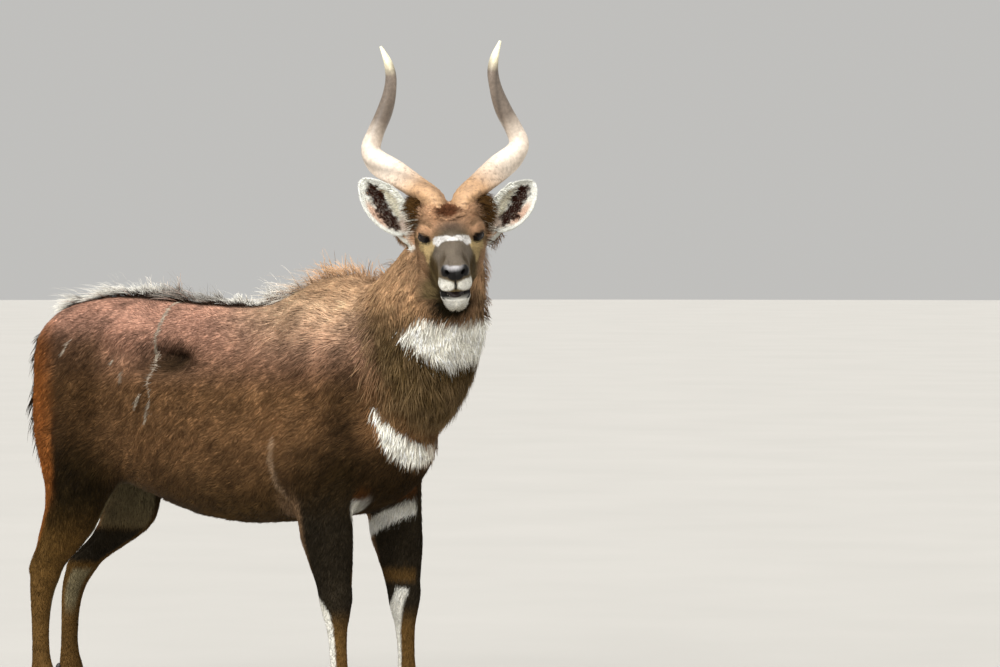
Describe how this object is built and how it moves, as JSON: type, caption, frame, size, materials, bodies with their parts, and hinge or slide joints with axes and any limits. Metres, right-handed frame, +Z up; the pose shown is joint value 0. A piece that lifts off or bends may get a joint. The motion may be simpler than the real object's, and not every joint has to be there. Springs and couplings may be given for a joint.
{
  "type": "mountain nyala bull, life-size still model",
  "caption": "Life-size standing spiral-horned antelope bull with a turned head, shaggy neck, white back crest and cloven hooves on the ground.",
  "frame": {"origin": "on the ground, under the middle of the bounding box", "axes": "+X towards the chest, +Y to the animal's left, +Z up"},
  "size_m": [1.6972, 0.6318, 1.9066],
  "materials": {
    "head": "short dense brown hair, bare dark nose",
    "neck": "long shaggy grey-brown hair with a white bib",
    "torso": "rough grey-brown coat with a white crest and a white chest patch",
    "tail": "dark brown hair, long towards the tip",
    "foreleg": "short dark brown hair with white marks",
    "hindleg": "short brown hair, pale on the inner side",
    "hoof": "dark horn with a soft shine",
    "horn": "brown ridged horn with ivory tips",
    "ear": "thin skin with short brown hair and a white rim",
    "eye": "wet dark brown"
  },
  "bodies": {
    "root": {"head": "head", "neck": "neck", "torso": "torso", "tail": "tail", "ear_left": "ear", "ear_right": "ear", "eye_left": "eye", "eye_right": "eye", "horn_left": "horn", "horn_right": "horn", "foreleg_right": "foreleg", "foreleg_left": "foreleg", "hindleg_right": "hindleg", "hindleg_left": "hindleg", "hoof_foreleg_right_a": "hoof", "hoof_foreleg_right_b": "hoof", "hoof_foreleg_left_a": "hoof", "hoof_foreleg_left_b": "hoof", "hoof_hindleg_right_a": "hoof", "hoof_hindleg_right_b": "hoof", "hoof_hindleg_left_a": "hoof", "hoof_hindleg_left_b": "hoof"}
  },
  "joints": []
}
